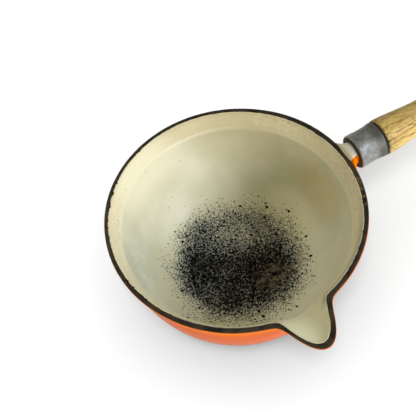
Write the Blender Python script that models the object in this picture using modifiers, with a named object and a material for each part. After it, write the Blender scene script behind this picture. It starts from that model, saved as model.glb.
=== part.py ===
"""Enamelled cast-iron saucepan with one pouring lip and a turned wooden handle.

Frame: the origin is the centre of the flat base, +Z is up, +X runs along the handle
and the pouring lip points nearly to -Y.  All lengths are in metres.

The pan is one casting with a fired enamel coat inside and another outside; only its rim and
foot are bare iron.  The handle is clamped on by a steel rod that screws into the casting's lug,
passes through the ferrule, the ring gasket and the wood, and ends in an eye for the hanging ring.
"""

from math import acos, copysign, cos, exp, hypot, log, pi, radians, sin

import bmesh
import bpy
from mathutils import Matrix, Vector

MM = 0.001

# Pan
PAN_HEIGHT = 85 * MM
RIM_RADIUS = 95 * MM
RIM_WIDTH = 4.5 * MM
RIM_BEAD_DEPTH = 1.6 * MM
RIM_ROUNDING = 0.5 * MM
LIP_FLARE_DEPTH = 10 * MM
LIP_FLARE_CURVE = 1.15
SHOULDER_RADIUS = 90.5 * MM
BASE_RADIUS = 56 * MM
FLOOR_THICKNESS = 5 * MM
FLOOR_RADIUS = 52 * MM
INNER_SHOULDER_RADIUS = 85.1 * MM
INNER_FLARE_DEPTH = 13 * MM
BOWL_EXPONENT = 1.95
FOOT_EDGE_HEIGHT = 2.2 * MM
FOOT_HEIGHT = 1.2 * MM
FOOT_CHAMFER_HEIGHT = 0.4 * MM
FOOT_CHAMFER_WIDTH = 0.5 * MM

# Pouring lip: the rim is pulled out near -Y, with straight sides, a rounded tip and eased necks
SPOUT_AZIMUTH = radians(-89.3)
OUTER_SPOUT_HALF_ANGLE = radians(14.7)
OUTER_SPOUT_TIP_ANGLE = radians(10)
OUTER_SPOUT_NECK_ANGLE = radians(1.02)
OUTER_SPOUT_SLOPE = 5.35 * MM / radians(1)
INNER_SPOUT_HALF_ANGLE = radians(13.1)
INNER_SPOUT_TIP_ANGLE = radians(8)
INNER_SPOUT_NECK_ANGLE = radians(0.84)
INNER_SPOUT_SLOPE = 4.75 * MM / radians(1)
SPOUT_FLOOR_DEPTH = 9 * MM
SPOUT_UNDERSIDE_DEPTH = 13 * MM
SPOUT_FADE_POWER = 1.6

# Enamel
ENAMEL = 0.4 * MM
GAP = 0.3 * MM
LIP_REACH_Z = PAN_HEIGHT - 25 * MM
ENAMEL_TOP = PAN_HEIGHT - RIM_BEAD_DEPTH - GAP
SHOULDER_Z = PAN_HEIGHT - LIP_FLARE_DEPTH
INNER_SHOULDER_Z = PAN_HEIGHT - INNER_FLARE_DEPTH

# Handle axis: starts at the rim's radius and climbs away from the pan
HANDLE_START = Vector((RIM_RADIUS, 0, PAN_HEIGHT - 2.9 * MM))
HANDLE_TILT = radians(6.5)

# Places along the handle axis
LUG_ROOT = -9 * MM
LUG_END = 17 * MM
ROD_BORE_END = 3 * MM
ROD_TIP = 4.5 * MM
FERRULE_START = 5.9 * MM
FERRULE_WAIST = 12.9 * MM
FERRULE_MIDDLE = 19.9 * MM
FERRULE_END = 28.3 * MM
GASKET_THICKNESS = 1.0 * MM
WOOD_LENGTH = 130 * MM
WASHER_THICKNESS = 1.6 * MM
ROD_COLLAR_GAP = 0.8 * MM
ROD_COLLAR_THICKNESS = 1.0 * MM
EYE_SETBACK = 12.0 * MM

# Lug: an oval boss that grows wider and lower where it leaves the wall
LUG_RADIUS = 8.0 * MM
LUG_TOP = 7.2 * MM
LUG_EXPONENT = 2.3
LUG_ROOT_SPREAD = 6.6 * MM
LUG_ROOT_SAG = 5.0 * MM
LUG_ROOT_DEPTH = 3.5 * MM
LUG_FADE_LENGTH = 2.4 * MM
LUG_FADE_POWER = 1.5
LUG_FADE_END = 7 * MM

# Round sections across the handle axis
FERRULE_HOLE_RADIUS = 9.3 * MM
FERRULE_NOSE_RADIUS = 13.6 * MM
FERRULE_NOSE_ROUNDING = 2.2 * MM
FERRULE_WAIST_RADIUS = 13.2 * MM
FERRULE_MIDDLE_RADIUS = 13.35 * MM
FERRULE_SEAM_RADIUS = 14.1 * MM
FERRULE_SEAM_ROUNDING = 0.8 * MM
FERRULE_BORE_RADIUS = 11.6 * MM
FERRULE_NOSE_WALL = 2.4 * MM
TENON_RADIUS = FERRULE_BORE_RADIUS - GAP
WOOD_SHOULDER_RADIUS = 14.5 * MM
WOOD_NECK_RADIUS = 12.0 * MM
WOOD_SWELL_RADIUS = 15.2 * MM
ROD_RADIUS = 2.8 * MM
ROD_BORE_RADIUS = ROD_RADIUS + GAP
ROD_COLLAR_RADIUS = 4.4 * MM
ROD_NECK_RADIUS = 2.2 * MM
ROD_POINT = 1.0 * MM
EYE_WIRE_RADIUS = 2.4 * MM
EYE_HOLE_RADIUS = 4.0 * MM
WASHER_RADIUS = 8.2 * MM
WASHER_DOME = 0.5 * MM
RING_WIRE_RADIUS = 1.6 * MM
RING_RADIUS = 16 * MM
RING_PLAY = 0.3 * MM

# Shares of the wood's length at its neck and at its swell
WOOD_NECK_SHARE = 0.3
WOOD_SWELL_SHARE = 0.82

# Tessellation
COARSE_STEP = radians(9)
SPOUT_STEP = radians(1.8)
SPOUT_HALF_SPAN = radians(18)
TURNED_STEPS = 32
LUG_POINTS = 28
LUG_STATIONS = 5
MERGE = 0.00005


# ---------------------------------------------------------------- scene set-up


def clear_scene():
    for obj in list(bpy.data.objects):
        bpy.data.objects.remove(obj, do_unlink=True)


def new_collection(name):
    collection = bpy.data.collections.new(name)
    bpy.context.scene.collection.children.link(collection)
    return collection


def new_material(name, colour, roughness, metallic):
    material = bpy.data.materials.new(name)
    material.use_nodes = True
    shader = material.node_tree.nodes["Principled BSDF"]
    shader.inputs["Base Color"].default_value = (*colour, 1)
    shader.inputs["Roughness"].default_value = roughness
    shader.inputs["Metallic"].default_value = metallic
    return material


def link_object(name, mesh, collection, material=None):
    obj = bpy.data.objects.new(name, mesh)
    collection.objects.link(obj)
    if material:
        mesh.materials.append(material)
    return obj


def link_cutter(name, mesh, collection):
    obj = link_object(name, mesh, collection)
    obj.hide_render = True
    obj.display_type = "WIRE"
    return obj


def combine(obj, other, operation):
    modifier = obj.modifiers.new(operation.lower() + "_" + other.name, "BOOLEAN")
    modifier.operation = operation
    modifier.solver = "EXACT"
    modifier.object = other


def smooth(obj, angle=35):
    obj.data.shade_smooth()
    obj.data.set_sharp_from_angle(angle=radians(angle))


# ------------------------------------------------------------ the pan's surfaces


def bowl_radius(z, base, shoulder, floor_z, rim, shoulder_z):
    """Radius of a bowl wall at height z: a superellipse to the shoulder, a flare, then the bead."""
    if z >= shoulder_z:
        rise = min(1.0, (z - shoulder_z) / (ENAMEL_TOP - shoulder_z))
        return shoulder + (rim - shoulder) * rise ** LIP_FLARE_CURVE
    drop = (shoulder_z - max(z, floor_z)) / (shoulder_z - floor_z)
    turn = acos(min(1.0, drop) ** (BOWL_EXPONENT / 2))
    return base + (shoulder - base) * sin(turn) ** (2 / BOWL_EXPONENT)


def outer_radius(z):
    """Radius of the finished pan's outside away from the pouring lip."""
    return bowl_radius(z, BASE_RADIUS, SHOULDER_RADIUS, 0, RIM_RADIUS, SHOULDER_Z)


def inner_radius(z):
    """Radius of the finished pan's inside away from the pouring lip."""
    rim = RIM_RADIUS - RIM_WIDTH
    return bowl_radius(z, FLOOR_RADIUS, INNER_SHOULDER_RADIUS, FLOOR_THICKNESS, rim, INNER_SHOULDER_Z)


def spout_plan(azimuth, half_angle, tip_angle, neck_angle, slope):
    """How far the pouring lip pulls the rim outwards at this azimuth."""
    offset = (azimuth - SPOUT_AZIMUTH + pi) % (2 * pi) - pi
    inside = half_angle - hypot(offset, tip_angle)
    return slope * neck_angle * log(1 + exp(inside / neck_angle))


def spout_fade(z, depth):
    """What share of the lip's pull is left at height z."""
    below_rim = max(0.0, PAN_HEIGHT - z)
    return exp(-((below_rim / depth) ** SPOUT_FADE_POWER))


def outer_point(azimuth, z):
    """A point on the outside of the finished pan."""
    plan = spout_plan(azimuth, OUTER_SPOUT_HALF_ANGLE, OUTER_SPOUT_TIP_ANGLE,
                      OUTER_SPOUT_NECK_ANGLE, OUTER_SPOUT_SLOPE)
    r = outer_radius(z) + plan * spout_fade(z, SPOUT_UNDERSIDE_DEPTH)
    return Vector((r * cos(azimuth), r * sin(azimuth), z))


def inner_point(azimuth, z):
    """A point on the inside of the finished pan."""
    plan = spout_plan(azimuth, INNER_SPOUT_HALF_ANGLE, INNER_SPOUT_TIP_ANGLE,
                      INNER_SPOUT_NECK_ANGLE, INNER_SPOUT_SLOPE)
    r = inner_radius(z) + plan * spout_fade(z, SPOUT_FLOOR_DEPTH)
    return Vector((r * cos(azimuth), r * sin(azimuth), z))


def sunk_point(surface, azimuth, z, depth, inwards):
    """The surface's point moved by depth into the wall, square to the surface."""
    nudge = 0.05 * MM
    here = surface(azimuth, z)
    along = surface(azimuth + 0.001, z) - surface(azimuth - 0.001, z)
    up = surface(azimuth, z + nudge) - surface(azimuth, z - nudge)
    normal = along.cross(up).normalized()
    return here - normal * depth if inwards else here + normal * depth


def pan_azimuths():
    """Directions of the pan's wall sections, close together across the pouring lip."""
    dense = int(round(2 * SPOUT_HALF_SPAN / SPOUT_STEP))
    coarse = int(round((2 * pi - 2 * SPOUT_HALF_SPAN) / COARSE_STEP))
    start = SPOUT_AZIMUTH - SPOUT_HALF_SPAN
    near = [start + SPOUT_STEP * i for i in range(dense)]
    far = [SPOUT_AZIMUTH + SPOUT_HALF_SPAN + COARSE_STEP * i for i in range(coarse)]
    return near + far


def wall_heights(floor_z, lowest, shoulder_z):
    """Heights of a wall's rings from under the bead down: close together as deep as the lip
    reaches, then evenly round the bowl's curve."""
    upper_steps = 6
    lower_steps = 5
    drop = ENAMEL_TOP - LIP_REACH_Z
    upper = [ENAMEL_TOP - drop * i / upper_steps for i in range(upper_steps)]

    def turn_at(z):
        return acos(((shoulder_z - z) / (shoulder_z - floor_z)) ** (BOWL_EXPONENT / 2))

    first = turn_at(LIP_REACH_Z)
    last = turn_at(lowest)
    turns = [first + (last - first) * i / lower_steps for i in range(lower_steps + 1)]
    span = shoulder_z - floor_z
    return upper + [shoulder_z - span * cos(t) ** (2 / BOWL_EXPONENT) for t in turns]


def skin_rings(surface, heights, depth, inwards):
    """Rings of points, one for each height, sunk by depth into the wall."""
    rings = []
    for z in heights:
        rings.append([sunk_point(surface, a, z, depth, inwards) for a in pan_azimuths()])
    return rings


def moved_ring(ring, radial, lift):
    """A copy of a ring moved outwards from the pan's axis by radial and up by lift."""
    moved = []
    for p in ring:
        scale = 1 + radial / hypot(p.x, p.y)
        moved.append(Vector((p.x * scale, p.y * scale, p.z + lift)))
    return moved


def rings_mesh(name, rings, closed_loop, start_pole=None, end_pole=None):
    """Joins rings of equal count into one skin; poles close the ends of an open run."""
    mesh = bpy.data.meshes.new(name)
    bm = bmesh.new()
    loops = [[bm.verts.new(p) for p in ring] for ring in rings]
    pairs = list(zip(loops, loops[1:]))
    if closed_loop:
        pairs.append((loops[-1], loops[0]))
    for upper, lower in pairs:
        count = len(upper)
        for i in range(count):
            j = (i + 1) % count
            bm.faces.new((upper[i], lower[i], lower[j], upper[j]))
    for pole, loop in ((start_pole, loops[0]), (end_pole, loops[-1])):
        if pole is None:
            continue
        tip = bm.verts.new(pole)
        for i in range(len(loop)):
            bm.faces.new((loop[i], loop[(i + 1) % len(loop)], tip))
    bmesh.ops.recalc_face_normals(bm, faces=bm.faces)
    if bm.calc_volume(signed=True) < 0:
        bmesh.ops.reverse_faces(bm, faces=bm.faces)
    bm.to_mesh(mesh)
    bm.free()
    return mesh


# ------------------------------------------------------------- handle-axis shapes


def handle_matrix():
    """Local +Z becomes the handle axis, local +X its upper side; local Y stays level."""
    along = Vector((cos(HANDLE_TILT), 0, sin(HANDLE_TILT)))
    level = Vector((0, -1, 0))
    above = level.cross(along)
    rotation = Matrix((above, level, along)).transposed().to_4x4()
    return Matrix.Translation(HANDLE_START) @ rotation


def turned(name, profile, collection, material, steps=TURNED_STEPS):
    """A solid turned round the handle axis from (place along the axis, radius) points."""
    mesh = bpy.data.meshes.new(name)
    bm = bmesh.new()
    verts = [bm.verts.new((radius, 0, place)) for place, radius in profile]
    for a, b in zip(verts, verts[1:]):
        bm.edges.new((a, b))
    if profile[0][1] > 0:
        bm.edges.new((verts[-1], verts[0]))
    bm.to_mesh(mesh)
    bm.free()
    obj = link_object(name, mesh, collection, material)
    obj.matrix_world = handle_matrix()
    screw = obj.modifiers.new("turn", "SCREW")
    screw.axis = "Z"
    screw.angle = 2 * pi
    screw.steps = steps
    screw.render_steps = steps
    screw.use_merge_vertices = True
    screw.merge_threshold = MERGE
    screw.use_normal_calculate = True
    return obj


def lug_size(place):
    """The lug's half width, top and bottom reach from the handle axis, at a place along it."""
    fade = exp(-((max(0.0, place) / LUG_FADE_LENGTH) ** LUG_FADE_POWER))
    half_width = LUG_RADIUS + LUG_ROOT_SPREAD * fade
    return half_width, LUG_TOP - LUG_ROOT_SAG * fade, LUG_RADIUS + LUG_ROOT_DEPTH * fade


def lug_section(place, grow):
    """One oval section across the lug, flatter on top, grown on every side by grow."""
    half_width, top, bottom = lug_size(place)
    power = 2 / LUG_EXPONENT
    points = []
    for i in range(LUG_POINTS):
        angle = 2 * pi * i / LUG_POINTS
        side = copysign(abs(cos(angle)) ** power, cos(angle)) * (half_width + grow)
        reach = (top if sin(angle) > 0 else bottom) + grow
        height = copysign(abs(sin(angle)) ** power, sin(angle)) * reach
        points.append(Vector((height, side, place)))
    return points


def lug_mesh(name, grow, first, last):
    """The lug as a loft along the handle axis from first to last."""
    places = [first] + [LUG_FADE_END * i / LUG_STATIONS for i in range(LUG_STATIONS + 1)] + [last]
    rings = [lug_section(place, grow) for place in places]
    mesh = rings_mesh(name, rings, False, Vector((0, 0, first)), Vector((0, 0, last)))
    mesh.transform(handle_matrix())
    return mesh


# ------------------------------------------------------------------- the parts


def outer_heights():
    return wall_heights(0, FOOT_EDGE_HEIGHT, SHOULDER_Z)


def inner_heights():
    return wall_heights(FLOOR_THICKNESS, FLOOR_THICKNESS + 0.15 * MM, INNER_SHOULDER_Z)


def rim_rings():
    """The bare iron bead at full wall width, listed from its outer foot over to its inner foot."""
    bead_foot = PAN_HEIGHT - RIM_BEAD_DEPTH
    side_z = PAN_HEIGHT - RIM_ROUNDING
    outer_foot = [outer_point(a, bead_foot) for a in pan_azimuths()]
    outer_side = [outer_point(a, side_z) for a in pan_azimuths()]
    inner_side = [inner_point(a, side_z) for a in pan_azimuths()]
    inner_foot = [inner_point(a, bead_foot) for a in pan_azimuths()]
    outer_top = moved_ring(outer_side, -RIM_ROUNDING, RIM_ROUNDING)
    inner_top = moved_ring(inner_side, RIM_ROUNDING, RIM_ROUNDING)
    return [outer_foot, outer_side, outer_top, inner_top, inner_side, inner_foot]


def make_pan_casting(parts, cutters, material):
    """Bowl, bead, foot and lug in one piece of iron, with the blind bore for the handle rod."""
    sunk = ENAMEL + GAP
    outside = skin_rings(outer_point, outer_heights(), sunk, True)
    inside = skin_rings(inner_point, inner_heights(), sunk, False)
    foot_edge = [outer_point(a, FOOT_HEIGHT) for a in pan_azimuths()]
    foot_side = [outer_point(a, FOOT_CHAMFER_HEIGHT) for a in pan_azimuths()]
    foot = moved_ring(foot_side, -FOOT_CHAMFER_WIDTH, -FOOT_CHAMFER_HEIGHT)
    rings = [foot, foot_side, foot_edge] + outside[::-1] + rim_rings() + inside
    floor_pole = Vector((0, 0, inside[-1][0].z))
    mesh = rings_mesh("pan_casting", rings, False, Vector((0, 0, 0)), floor_pole)
    casting = link_object("pan_casting", mesh, parts, material)
    wall_cutter = mid_wall_cutter(cutters)
    lug = link_cutter("lug_blank", lug_mesh("lug_blank", 0, LUG_ROOT, LUG_END), cutters)
    combine(lug, wall_cutter, "DIFFERENCE")
    combine(casting, lug, "UNION")
    mouth = LUG_END + 2 * MM
    cone_end = ROD_BORE_END + 1.5 * MM
    profile = [(mouth, 0), (mouth, ROD_BORE_RADIUS), (cone_end, ROD_BORE_RADIUS), (ROD_BORE_END, 0)]
    bore = turned("rod_bore", profile, cutters, None, 24)
    bore.hide_render = True
    bore.display_type = "WIRE"
    combine(casting, bore, "DIFFERENCE")
    smooth(casting)
    return casting


def mid_wall_cutter(cutters):
    """The space inside the middle of the wall, so the lug's root ends within the iron."""
    mesh = bpy.data.meshes.new("mid_wall")
    bm = bmesh.new()
    sink = RIM_WIDTH / 2
    top = PAN_HEIGHT + 20 * MM
    bottom = 40 * MM
    points = [(0, top)]
    for z in (top, PAN_HEIGHT, SHOULDER_Z, 50 * MM, bottom):
        r = outer_radius(min(z, PAN_HEIGHT))
        points.append((r - sink, z))
    points.append((0, bottom))
    verts = [bm.verts.new((r, 0, z)) for r, z in points]
    for a, b in zip(verts, verts[1:]):
        bm.edges.new((a, b))
    bm.to_mesh(mesh)
    bm.free()
    obj = link_cutter("mid_wall", mesh, cutters)
    screw = obj.modifiers.new("turn", "SCREW")
    screw.steps = 60
    screw.render_steps = 60
    screw.use_merge_vertices = True
    screw.merge_threshold = MERGE
    screw.use_normal_calculate = True
    return obj


def make_interior_enamel(parts, material):
    """The cream coat over the whole inside, up to the bead of the rim."""
    face = skin_rings(inner_point, inner_heights(), 0, False)
    back = skin_rings(inner_point, inner_heights(), ENAMEL, False)
    face_pole = Vector((0, 0, face[-1][0].z))
    back_pole = Vector((0, 0, back[-1][0].z))
    rings = face[::-1] + back
    mesh = rings_mesh("interior_enamel", rings, False, face_pole, back_pole)
    coat = link_object("interior_enamel", mesh, parts, material)
    smooth(coat)
    return coat


def make_exterior_enamel(parts, cutters, material):
    """The orange coat outside, from under the bead to the foot, and out along the lug."""
    face = skin_rings(outer_point, outer_heights(), 0, True)
    back = skin_rings(outer_point, outer_heights(), ENAMEL, True)
    rings = face + back[::-1]
    mesh = rings_mesh("exterior_enamel", rings, True)
    coat = link_object("exterior_enamel", mesh, parts, material)
    sleeve_end = FERRULE_START + 2.0 * MM
    around = lug_mesh("lug_sleeve", GAP + ENAMEL, LUG_ROOT, sleeve_end)
    sleeve = link_cutter("lug_sleeve", around, cutters)
    combine(sleeve, sleeve_root_cutter(cutters), "DIFFERENCE")
    combine(coat, sleeve, "UNION")
    through = lug_mesh("lug_clearance", GAP, LUG_ROOT - 6 * MM, sleeve_end + 2 * MM)
    combine(coat, link_cutter("lug_clearance", through, cutters), "DIFFERENCE")
    smooth(coat)
    return coat


def sleeve_root_cutter(cutters):
    """The space that the sleeve's root keeps out of: inside the coat, and the rim's bead."""
    bead_foot = PAN_HEIGHT - RIM_BEAD_DEPTH - GAP
    rim = [outer_point(a, PAN_HEIGHT) for a in pan_azimuths()]
    rings = [moved_ring(rim, GAP, 15 * MM), moved_ring(rim, GAP, bead_foot - PAN_HEIGHT)]
    upper_heights = [z for z in outer_heights() if z > PAN_HEIGHT / 2]
    inset = skin_rings(outer_point, upper_heights, ENAMEL / 2, True)
    step_down = Vector((0, 0, -0.02 * MM))
    rings.append([p + step_down for p in inset[0]])
    rings += inset[1:]
    top_pole = Vector((0, 0, rings[0][0].z))
    bottom_pole = Vector((0, 0, rings[-1][0].z))
    mesh = rings_mesh("sleeve_root", rings, False, top_pole, bottom_pole)
    return link_cutter("sleeve_root", mesh, cutters)


def arc(centre_place, centre_radius, size, start, end, steps):
    """Points of a rounded edge in a turned profile, as (place, radius)."""
    angles = [radians(start + (end - start) * i / steps) for i in range(steps + 1)]
    return [(centre_place + size * cos(a), centre_radius + size * sin(a)) for a in angles]


def make_ferrule(parts, material):
    """A drawn metal cup: its nose closes in round the lug and its open end takes the tenon."""
    edge = 0.5 * MM
    nose_end = FERRULE_START + FERRULE_NOSE_WALL
    nose_centre = FERRULE_START + FERRULE_NOSE_ROUNDING
    seam_centre = FERRULE_END - FERRULE_SEAM_ROUNDING
    profile = [(nose_end, FERRULE_BORE_RADIUS), (FERRULE_END - edge, FERRULE_BORE_RADIUS)]
    profile.append((FERRULE_END, FERRULE_BORE_RADIUS + edge))
    profile += arc(seam_centre, FERRULE_SEAM_RADIUS - FERRULE_SEAM_ROUNDING,
                   FERRULE_SEAM_ROUNDING, 0, 90, 2)
    profile.append((FERRULE_MIDDLE, FERRULE_MIDDLE_RADIUS))
    profile.append((FERRULE_WAIST, FERRULE_WAIST_RADIUS))
    profile += arc(nose_centre, FERRULE_NOSE_RADIUS - FERRULE_NOSE_ROUNDING,
                   FERRULE_NOSE_ROUNDING, 80, 180, 4)
    profile.append((FERRULE_START, FERRULE_HOLE_RADIUS + edge))
    profile.append((FERRULE_START + edge, FERRULE_HOLE_RADIUS))
    profile.append((nose_end, FERRULE_HOLE_RADIUS))
    ferrule = turned("ferrule", profile, parts, material, 40)
    smooth(ferrule)
    return ferrule


def gasket_start():
    return FERRULE_END + GAP


def wood_start():
    return gasket_start() + GASKET_THICKNESS + GAP


def wood_end():
    return wood_start() + WOOD_LENGTH


def make_handle_gasket(parts, material):
    """The thin black ring that packs the joint between the ferrule and the wood."""
    start = gasket_start()
    end = start + GASKET_THICKNESS
    inner = TENON_RADIUS + GAP
    edge = 0.3 * MM
    outer = FERRULE_SEAM_RADIUS - edge
    profile = [(start, inner), (end, inner), (end, outer - edge), (end - edge, outer),
               (start + edge, outer), (start, outer - edge)]
    gasket = turned("handle_gasket", profile, parts, material)
    smooth(gasket)
    return gasket


def wood_radius(place):
    """The turned grip: full at the shoulder, a slim neck, then a swell towards the end."""
    share = (place - wood_start()) / WOOD_LENGTH
    if share < WOOD_NECK_SHARE:
        blend = (1 - cos(pi * share / WOOD_NECK_SHARE)) / 2
        return WOOD_SHOULDER_RADIUS + (WOOD_NECK_RADIUS - WOOD_SHOULDER_RADIUS) * blend
    rise = min(1.0, (share - WOOD_NECK_SHARE) / (WOOD_SWELL_SHARE - WOOD_NECK_SHARE))
    blend = (1 - cos(pi * rise)) / 2
    return WOOD_NECK_RADIUS + (WOOD_SWELL_RADIUS - WOOD_NECK_RADIUS) * blend


def make_wood_handle(parts, material):
    """Turned wood with a tenon inside the ferrule and a hole right through for the rod."""
    start = wood_start()
    end = wood_end()
    tenon_start = LUG_END + GAP
    edge = 0.8 * MM
    end_round = 11 * MM
    end_steps = 5
    grip_steps = 11
    seat_radius = WASHER_RADIUS + 1.2 * MM
    profile = [(end, ROD_BORE_RADIUS), (end, seat_radius)]
    flat = end - end_round
    full = wood_radius(flat)
    for i in range(1, end_steps + 1):
        angle = radians(90 * i / end_steps)
        place = flat + end_round * cos(angle)
        profile.append((place, seat_radius + (full - seat_radius) * sin(angle)))
    for i in range(1, grip_steps + 1):
        place = flat + (start + edge - flat) * i / grip_steps
        profile.append((place, wood_radius(place)))
    profile.append((start, wood_radius(start) - edge))
    profile.append((start, TENON_RADIUS))
    profile.append((tenon_start + edge, TENON_RADIUS))
    profile.append((tenon_start, TENON_RADIUS - edge))
    profile.append((tenon_start, ROD_BORE_RADIUS))
    handle = turned("wood_handle", profile, parts, material)
    smooth(handle)
    return handle


def make_end_washer(parts, material):
    """A domed steel washer that spreads the rod's pull over the end of the wood."""
    start = wood_end() + GAP
    end = start + WASHER_THICKNESS
    dome_edge = ROD_BORE_RADIUS + 2 * MM
    profile = [(end + WASHER_DOME, ROD_BORE_RADIUS), (end + WASHER_DOME * 0.6, dome_edge),
               (end, WASHER_RADIUS - WASHER_DOME), (end - WASHER_DOME, WASHER_RADIUS),
               (start, WASHER_RADIUS), (start, ROD_BORE_RADIUS)]
    washer = turned("end_washer", profile, parts, material)
    smooth(washer)
    return washer


def eye_place():
    """Place of the eye's centre along the handle axis."""
    return wood_end() + EYE_SETBACK


def make_tie_rod(parts, cutters, material):
    """The long steel rod that clamps the handle, with its end forged into a level-holed eye."""
    collar = wood_end() + GAP + WASHER_THICKNESS + ROD_COLLAR_GAP
    collar_end = collar + ROD_COLLAR_THICKNESS
    ring_radius = EYE_HOLE_RADIUS + EYE_WIRE_RADIUS
    top = eye_place() - EYE_HOLE_RADIUS - 0.8 * MM
    profile = [(top, 0), (top, ROD_NECK_RADIUS), (collar_end, ROD_COLLAR_RADIUS),
               (collar, ROD_COLLAR_RADIUS), (collar, ROD_RADIUS), (ROD_TIP + ROD_POINT, ROD_RADIUS),
               (ROD_TIP, ROD_RADIUS - ROD_POINT), (ROD_TIP, 0)]
    rod = turned("tie_rod", profile, parts, material, 24)
    bpy.ops.mesh.primitive_torus_add(
        major_radius=ring_radius, minor_radius=EYE_WIRE_RADIUS,
        major_segments=28, minor_segments=12)
    eye = bpy.context.object
    eye.name = "eye_blank"
    for collection in list(eye.users_collection):
        collection.objects.unlink(eye)
    cutters.objects.link(eye)
    eye.hide_render = True
    eye.display_type = "WIRE"
    eye.matrix_world = (handle_matrix() @ Matrix.Translation((0, 0, eye_place()))
                        @ Matrix.Rotation(pi / 2, 4, "X"))
    combine(rod, eye, "UNION")
    smooth(rod)
    return rod


def ring_pivot():
    """Middle of the ring's wire where it hangs in the eye: the hinge axis, level along Y."""
    centre = handle_matrix() @ Vector((0, 0, eye_place()))
    drop = EYE_HOLE_RADIUS - RING_WIRE_RADIUS - RING_PLAY
    return centre - Vector((0, 0, drop))


def make_hanging_ring(parts, material):
    """A round wire ring that hangs from the eye and swings about the level axis through it."""
    curve = bpy.data.curves.new("hanging_ring", "CURVE")
    curve.dimensions = "3D"
    curve.bevel_depth = RING_WIRE_RADIUS
    curve.bevel_resolution = 2
    spline = curve.splines.new("POLY")
    count = 40
    spline.points.add(count - 1)
    for i in range(count):
        angle = 2 * pi * i / count
        y = RING_RADIUS * sin(angle)
        z = RING_RADIUS * cos(angle) - RING_RADIUS
        spline.points[i].co = (0, y, z, 1)
    spline.use_cyclic_u = True
    ring = bpy.data.objects.new("hanging_ring", curve)
    parts.objects.link(ring)
    ring.location = ring_pivot()
    curve.materials.append(material)
    return ring


def build():
    clear_scene()
    parts = new_collection("enamelled_saucepan")
    cutters = new_collection("cutters")
    iron = new_material("bare_cast_iron", (0.035, 0.031, 0.028), 0.55, 0.6)
    cream = new_material("cream_enamel", (0.80, 0.74, 0.55), 0.25, 0.0)
    orange = new_material("orange_enamel", (0.90, 0.20, 0.02), 0.18, 0.0)
    alloy = new_material("ferrule_alloy", (0.33, 0.33, 0.32), 0.42, 0.9)
    fibre = new_material("black_fibre", (0.02, 0.02, 0.02), 0.8, 0.0)
    wood = new_material("golden_wood", (0.52, 0.33, 0.13), 0.5, 0.0)
    steel = new_material("plated_steel", (0.55, 0.54, 0.52), 0.35, 1.0)
    make_pan_casting(parts, cutters, iron)
    make_interior_enamel(parts, cream)
    make_exterior_enamel(parts, cutters, orange)
    make_ferrule(parts, alloy)
    make_handle_gasket(parts, fibre)
    make_wood_handle(parts, wood)
    make_end_washer(parts, steel)
    make_tie_rod(parts, cutters, steel)
    make_hanging_ring(parts, steel)


build()
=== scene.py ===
"""Looks of an enamelled cast-iron saucepan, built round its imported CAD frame.

Everything is in metres in the CAD's own frame: the origin is the centre of the base, +Z is up,
+X runs along the handle and the pouring lip points to -Y.
"""

from math import asin, cos, pi, radians, sin

import bmesh
import bpy
import numpy as np
from mathutils import Matrix, Vector, noise


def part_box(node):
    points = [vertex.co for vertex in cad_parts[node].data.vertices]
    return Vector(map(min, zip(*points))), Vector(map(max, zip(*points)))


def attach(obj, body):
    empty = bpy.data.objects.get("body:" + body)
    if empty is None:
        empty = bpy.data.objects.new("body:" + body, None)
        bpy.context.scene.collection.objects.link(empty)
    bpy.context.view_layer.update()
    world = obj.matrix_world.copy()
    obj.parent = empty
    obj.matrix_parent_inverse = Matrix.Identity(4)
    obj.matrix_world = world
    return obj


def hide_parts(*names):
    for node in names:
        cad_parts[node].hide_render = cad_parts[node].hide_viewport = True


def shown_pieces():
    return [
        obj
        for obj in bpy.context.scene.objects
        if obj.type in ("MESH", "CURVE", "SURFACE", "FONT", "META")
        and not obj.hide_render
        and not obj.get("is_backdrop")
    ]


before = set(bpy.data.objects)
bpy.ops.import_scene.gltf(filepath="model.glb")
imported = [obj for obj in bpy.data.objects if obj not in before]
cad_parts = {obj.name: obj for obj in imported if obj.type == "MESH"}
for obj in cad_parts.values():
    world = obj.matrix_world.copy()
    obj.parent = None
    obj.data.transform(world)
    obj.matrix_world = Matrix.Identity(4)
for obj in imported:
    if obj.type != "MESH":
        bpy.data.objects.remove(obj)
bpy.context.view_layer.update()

MM = 0.001

# ---------- sizes shared with the CAD

RIM_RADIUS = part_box("exterior_enamel")[1].y
PAN_HEIGHT = 85 * MM
PAN_MIDDLE = Vector((0, 0, PAN_HEIGHT / 2))
INNER_RIM_RADIUS = 90.5 * MM
SHOULDER_Z = PAN_HEIGHT - 10 * MM
FLARE_TOP = PAN_HEIGHT - 1.9 * MM
FLARE_CURVE = 1.15
BASE_RADIUS = 56 * MM
SHOULDER_RADIUS = 90.5 * MM
FLOOR_Z = 5 * MM
FLOOR_RADIUS = 52 * MM
INNER_SHOULDER_RADIUS = 85.1 * MM
INNER_SHOULDER_Z = PAN_HEIGHT - 13 * MM
BOWL_EXPONENT = 1.95
FOOT_EDGE = 2.2 * MM

LIP_AZIMUTH = radians(-89.3)
OUTER_LIP_HALF_ANGLE = radians(14.7)
OUTER_LIP_TIP_ANGLE = radians(10)
OUTER_LIP_NECK_ANGLE = radians(1.02)
OUTER_LIP_SLOPE = 5.32 * MM / radians(1)
INNER_LIP_HALF_ANGLE = radians(13.1)
INNER_LIP_TIP_ANGLE = radians(8)
INNER_LIP_NECK_ANGLE = radians(0.84)
INNER_LIP_SLOPE = 4.75 * MM / radians(1)
LIP_UNDERSIDE_DEPTH = 13 * MM
LIP_FLOOR_DEPTH = 9 * MM
LIP_FADE_POWER = 1.6
LIP_BEAD_SHIFT = radians(0.45)

HANDLE_START = Vector((RIM_RADIUS, 0, PAN_HEIGHT - 2.9 * MM))
HANDLE_TILT = radians(6.5)

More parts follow.
